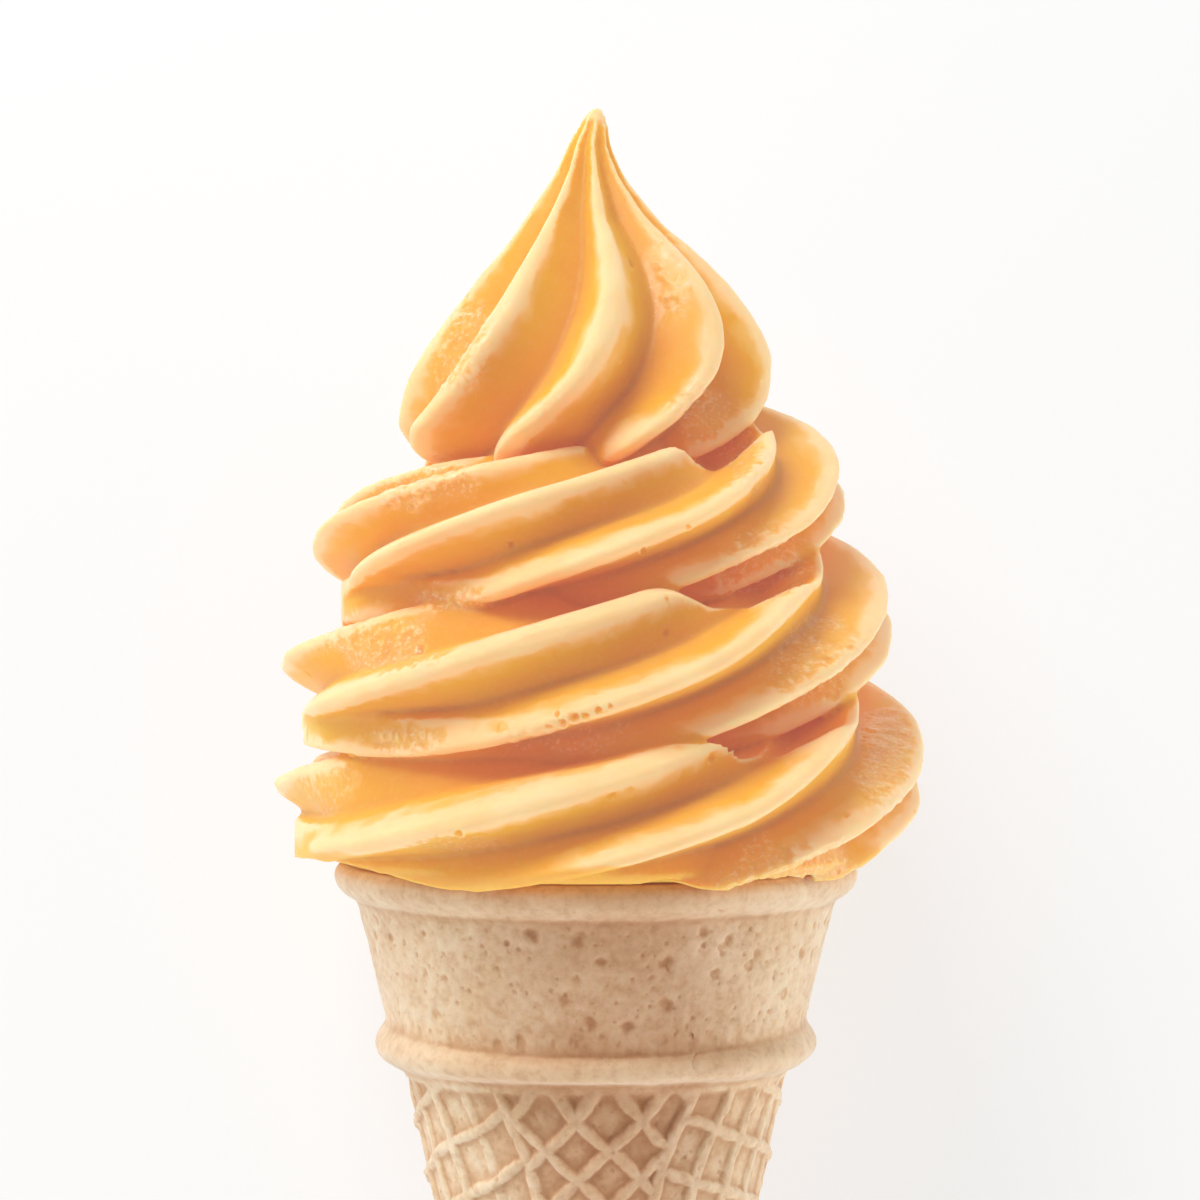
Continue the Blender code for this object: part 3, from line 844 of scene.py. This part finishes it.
def paintedSideLight(points):
    # painted light: the wafer coloured paler at the sides, where the lamps light it, than in front and
    # behind, where it is painted darker as shade, and paler on the collar
    bearing = np.degrees(np.arctan2(points[:, 0], np.abs(points[:, 1])))
    turn = np.abs(bearing - wafer["shadedFrontTurn"])
    collar = smoothStep(-20.2, -18.9, points[:, 2]) * smoothStep(-16.0, -16.8, points[:, 2])
    return np.maximum(smoothStep(*wafer["shadedToLitWidth"], turn), wafer["collarPale"] * collar)


def hexColour(code):
    parts = [int(code[i:i + 2], 16) / 255 for i in (1, 3, 5)]
    return [c / 12.92 if c <= 0.04045 else ((c + 0.055) / 1.055) ** 2.4 for c in parts] + [1.0]


def addNode(tree, kind, settings=None, links=None):
    node = tree.nodes.new(kind)
    for key, value in (settings or {}).items():
        if key in node.inputs.keys():
            node.inputs[key].default_value = value
        else:
            setattr(node, key, value)
    for key, source in (links or {}).items():
        tree.links.new(source, node.inputs[key])
    return node


def setRamp(node, stops):
    ramp = node.color_ramp
    while len(ramp.elements) < len(stops):
        ramp.elements.new(1.0)
    for element, (position, colour) in zip(ramp.elements, stops):
        element.position = position
        element.color = hexColour(colour)


def newMaterial(name):
    material = bpy.data.materials.new(name)
    material.use_nodes = True
    material.node_tree.nodes.clear()
    return material, material.node_tree


def pipedSoftServe():
    # whipped dairy cream, piped cold, with light wandering through it. Its colour holds painted shade
    # deeper in the folds, painted light on the ridges, a paler skin on the crests with painted highlight
    # lines along them, and painted highlight specks where the rope tore as it was drawn and is wet. The
    # faint glow stands for the light that its folds pass on to each other
    material, tree = newMaterial("pipedSoftServe")
    place = addNode(tree, "ShaderNodeTexCoord").outputs["Object"]
    crest = addNode(tree, "ShaderNodeAttribute", {"attribute_name": "crest"}).outputs["Fac"]
    foldShadeRidgeLight = addNode(tree, "ShaderNodeAttribute", {"attribute_name": "foldShadeRidgeLight"}).outputs["Fac"]
    torn = addNode(tree, "ShaderNodeAttribute", {"attribute_name": "torn"}).outputs["Fac"]
    # painted shade and painted light: the colour runs from a deeper orange in the folds to a paler yellow
    # on the ridges
    colour = addNode(tree, "ShaderNodeValToRGB", links={"Fac": foldShadeRidgeLight})
    setRamp(colour, ((0.0, "#E19C3E"), (0.35, "#E7AA2E"), (0.65, "#EBB61C"), (1.0, "#EFC24C")))
    # a paler, thinner skin on the crests, and painted highlight lines along their sharpest edges
    wear = addNode(tree, "ShaderNodeValToRGB", links={"Fac": crest})
    setRamp(wear, ((0.68, "#000000"), (0.86, "#808080"), (1.0, "#CCCCCC")))
    crestPaleAndHighlit = addNode(tree, "ShaderNodeMixRGB", {"blend_type": "MIX", "Color2": hexColour("#FEEFC8")},
                   {"Fac": wear.outputs["Color"], "Color1": colour.outputs["Color"]})
    cloud = addNode(tree, "ShaderNodeTexNoise", {"Scale": 1 / (6 * mm), "Detail": 3.0}, {"Vector": place})
    mottle = addNode(tree, "ShaderNodeValToRGB", links={"Fac": cloud.outputs["Fac"]})
    setRamp(mottle, ((0.35, "#FFF3E4"), (0.65, "#FFFFFF")))
    crust = addNode(tree, "ShaderNodeMapRange", {"To Max": 0.22}, {"Value": torn})
    aired = addNode(tree, "ShaderNodeMixRGB", {"blend_type": "MIX", "Color2": hexColour("#FAD9A0")},
                    {"Fac": crust.outputs["Result"], "Color1": crestPaleAndHighlit.outputs["Color"]})
    tone = addNode(tree, "ShaderNodeMixRGB", {"blend_type": "MULTIPLY", "Fac": 0.7},
                   {"Color1": aired.outputs["Color"], "Color2": mottle.outputs["Color"]})
    grain = addNode(tree, "ShaderNodeTexNoise", {"Scale": 1 / (0.45 * mm), "Detail": 3.0, "Roughness": 0.6},
                    {"Vector": place})
    # painted highlight specks, most of them where the cream is torn
    glintSpecks = addNode(tree, "ShaderNodeValToRGB", links={"Fac": grain.outputs["Fac"]})
    setRamp(glintSpecks, ((0.52, "#000000"), (0.66, "#FFFFFF")))
    much = addNode(tree, "ShaderNodeMapRange", {"To Min": 0.05, "To Max": 0.6}, {"Value": torn})
    share = addNode(tree, "ShaderNodeMath", {"operation": "MULTIPLY"})
    tree.links.new(glintSpecks.outputs["Color"], share.inputs[0])
    tree.links.new(much.outputs["Result"], share.inputs[1])
    glintSpecked = addNode(tree, "ShaderNodeMixRGB", {"blend_type": "MIX", "Color2": hexColour("#FBE3B8")},
                      {"Fac": share.outputs["Value"], "Color1": tone.outputs["Color"]})
    rough = addNode(tree, "ShaderNodeMapRange",
                    {"From Min": 0.3, "From Max": 0.7, "To Min": 0.36, "To Max": 0.52},
                    {"Value": grain.outputs["Fac"]})
    wet = addNode(tree, "ShaderNodeMapRange", {"To Min": 0.08, "To Max": 0.7}, {"Value": torn})
    deep = addNode(tree, "ShaderNodeMapRange", {"To Min": 0.12, "To Max": 0.8}, {"Value": torn})
    bump = addNode(tree, "ShaderNodeBump", {"Distance": 0.12 * mm},
                   {"Height": grain.outputs["Fac"], "Strength": deep.outputs["Result"]})
    shader = addNode(tree, "ShaderNodeBsdfPrincipled", {
        "IOR": 1.35, "Specular IOR Level": 0.18, "Subsurface Weight": 1.0,
        "Subsurface Radius": (1.0, 0.45, 0.25), "Subsurface Scale": 1.5 * mm, "Coat Roughness": 0.14,
        "Emission Color": hexColour("#CC9290"), "Emission Strength": 0.2,
    }, {"Base Color": glintSpecked.outputs["Color"], "Roughness": rough.outputs["Result"],
        "Normal": bump.outputs["Normal"], "Coat Weight": wet.outputs["Result"]})
    addNode(tree, "ShaderNodeOutputMaterial", links={"Surface": shader.outputs["BSDF"]})
    return material


def bakedWafer():
    # thin batter baked in a metal mould: dry and porous. Its colour holds painted shade that makes the
    # pockets and pits darker than the ribs and crumbs, and painted light that makes the sides paler than
    # the front and back
    material, tree = newMaterial("bakedWafer")
    place = addNode(tree, "ShaderNodeTexCoord").outputs["Object"]
    crest = addNode(tree, "ShaderNodeAttribute", {"attribute_name": "crest"}).outputs["Fac"]
    rib = addNode(tree, "ShaderNodeAttribute", {"attribute_name": "rib"}).outputs["Fac"]
    # painted shade: darker in the pockets, paler on the ribs
    colour = addNode(tree, "ShaderNodeValToRGB", links={"Fac": rib})
    setRamp(colour, ((0.0, "#DCB18B"), (0.5, "#E7BF9A"), (1.0, "#EECDA8")))
    # painted light: paler towards the sides, where the lamps light the wafer, and on the collar; darker in
    # front and behind as painted shade
    side = addNode(tree, "ShaderNodeAttribute", {"attribute_name": "side"}).outputs["Fac"]
    sideLitTone = addNode(tree, "ShaderNodeMixRGB", {"blend_type": "MIX", "Color2": hexColour("#FFE9C8")},
                      {"Fac": side, "Color1": colour.outputs["Color"]})
    # painted shade: darker in the pits, plain on the crumbs
    pitShade = addNode(tree, "ShaderNodeValToRGB", links={"Fac": crest})
    setRamp(pitShade, ((0.0, "#E9D3C0"), (0.42, "#FBF5EE"), (0.6, "#FFFFFF"), (0.9, "#FFFFFF")))
    tone = addNode(tree, "ShaderNodeMixRGB", {"blend_type": "MULTIPLY", "Fac": 1.0},
                   {"Color1": sideLitTone.outputs["Color"], "Color2": pitShade.outputs["Color"]})
    speck = addNode(tree, "ShaderNodeTexNoise", {"Scale": 1 / (1.1 * mm), "Detail": 4.0, "Roughness": 0.65},
                    {"Vector": place})
    mottle = addNode(tree, "ShaderNodeValToRGB", links={"Fac": speck.outputs["Fac"]})
    setRamp(mottle, ((0.3, "#D8BFA6"), (0.5, "#F4EAE0"), (0.7, "#FFFFFF")))
    mixed = addNode(tree, "ShaderNodeMixRGB", {"blend_type": "MULTIPLY", "Fac": 0.6},
                    {"Color1": tone.outputs["Color"], "Color2": mottle.outputs["Color"]})
    cloud = addNode(tree, "ShaderNodeTexNoise", {"Scale": 1 / (9 * mm), "Detail": 2.0}, {"Vector": place})
    toast = addNode(tree, "ShaderNodeValToRGB", links={"Fac": cloud.outputs["Fac"]})
    setRamp(toast, ((0.35, "#EFE3D6"), (0.65, "#FFFFFF")))
    final = addNode(tree, "ShaderNodeMixRGB", {"blend_type": "MULTIPLY", "Fac": 0.8},
                    {"Color1": mixed.outputs["Color"], "Color2": toast.outputs["Color"]})
    bump = addNode(tree, "ShaderNodeBump", {"Strength": 0.5, "Distance": 0.08 * mm},
                   {"Height": speck.outputs["Fac"]})
    shader = addNode(tree, "ShaderNodeBsdfPrincipled", {
        "Roughness": 0.62, "IOR": 1.45, "Subsurface Weight": 0.35,
        "Subsurface Radius": (1.0, 0.6, 0.35), "Subsurface Scale": 1.2 * mm,
        "Sheen Weight": 0.4, "Sheen Roughness": 0.4,
    }, {"Base Color": final.outputs["Color"], "Normal": bump.outputs["Normal"]})
    addNode(tree, "ShaderNodeOutputMaterial", links={"Surface": shader.outputs["BSDF"]})
    return material


def addArea(name, place, target, size, watts):
    light = bpy.data.lights.new(name, "AREA")
    light.shape = "RECTANGLE"
    light.size, light.size_y = size
    light.energy = watts
    obj = bpy.data.objects.new(name, light)
    obj.location = place
    obj.rotation_euler = (Vector(target) - Vector(place)).to_track_quat("-Z", "Y").to_euler()
    bpy.context.scene.collection.objects.link(obj)


def setStudio():
    # two lights low at the wafer's end, one high beyond the peak: place, target and size in m,
    # then power in W
    addArea("key", (-0.36, -0.24, 0.10), (0, 0, 0.03), (0.4, 0.2), 0.54)
    addArea("fill", (0.36, -0.24, 0.10), (0, 0, 0.03), (0.4, 0.2), 0.8)
    addArea("top", (-0.22, 0.40, 0.42), (0, 0.03, 0.03), (0.36, 0.24), 2.1)
    world = bpy.data.worlds.new("studio")
    bpy.context.scene.world = world
    world.use_nodes = True
    world.node_tree.nodes["Background"].inputs["Color"].default_value = hexColour("#FFFFFF")
    world.node_tree.nodes["Background"].inputs["Strength"].default_value = 0.42


def layFloor():
    # a white table that glows a little, so that the shadows stay faint
    mesh = bpy.data.meshes.new("floor")
    mesh.from_pydata([(-3, -3, 0), (3, -3, 0), (3, 3, 0), (-3, 3, 0)], [], [(0, 1, 2, 3)])
    floor = bpy.data.objects.new("floor", mesh)
    bpy.context.scene.collection.objects.link(floor)
    material, tree = newMaterial("paleTable")
    shader = addNode(tree, "ShaderNodeBsdfPrincipled", {
        "Base Color": hexColour("#9C9C9C"), "Roughness": 0.9, "Specular IOR Level": 0.0,
        "Emission Color": hexColour("#FFFFFF"), "Emission Strength": 0.67,
    })
    addNode(tree, "ShaderNodeOutputMaterial", links={"Surface": shader.outputs["BSDF"]})
    mesh.materials.append(material)


def setCamera():
    # square to the cone's long axis. In mm: how far away it is, what height above the rim and
    # how far to the right it looks at, and how wide a piece it sees there
    view = {"distance": 290.0, "level": 26.1, "across": 0.4, "frame": 120.0}
    data = bpy.data.cameras.new("camera")
    data.sensor_width = 36
    data.lens = data.sensor_width * view["distance"] / view["frame"]
    data.clip_start = 0.01
    data.clip_end = 10
    camera = bpy.data.objects.new("camera", data)
    bpy.context.scene.collection.objects.link(camera)
    standing = Matrix.Translation((view["across"], -view["distance"], view["level"]))
    standing = standing @ Matrix.Rotation(math.radians(90), 4, "X")
    place = laying @ standing
    camera.matrix_world = Matrix.LocRotScale(place.to_translation(), place.to_quaternion(), None)
    bpy.context.scene.camera = camera


def finishPiece(obj, node, material):
    obj.data.materials.clear()
    obj.data.materials.append(material)
    obj.data.shade_smooth()
    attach(obj, "root")
    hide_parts(node)


softServePiece = makeSoftServe()
standing = standingPoints(softServePiece)
# crest: the narrow pale crests, a thinner skin with painted highlight lines on top, though not on the lip.
# Ledge: whole ridges and folds, for painted light on the ridges and painted shade in the folds
keepRelief(softServePiece, "crest", 12, 0.00018, smoothStep(1.0, 3.5, standing[:, 2]))
keepRelief(softServePiece, "foldShadeRidgeLight", 110, 0.0016)
keepShare(softServePiece, "torn", tornMask(standing))
finishPiece(softServePiece, "soft_serve", pipedSoftServe())
print("soft serve made")
waferPiece = makeWafer()
# crest: crumbs and pits, painted darker in the pits as shade. Rib: whole ribs and pockets, painted darker
# in the pockets as shade
keepRelief(waferPiece, "crest", 8, 0.00012)
keepRelief(waferPiece, "rib", 60, 0.0005)
# side: painted light at the sides and painted shade in front and behind
keepShare(waferPiece, "side", paintedSideLight(standingPoints(waferPiece)))
finishPiece(waferPiece, "wafer_cone", bakedWafer())
print("wafer made")
setStudio()
layFloor()
setCamera()
bpy.context.scene.view_settings.view_transform = "Standard"
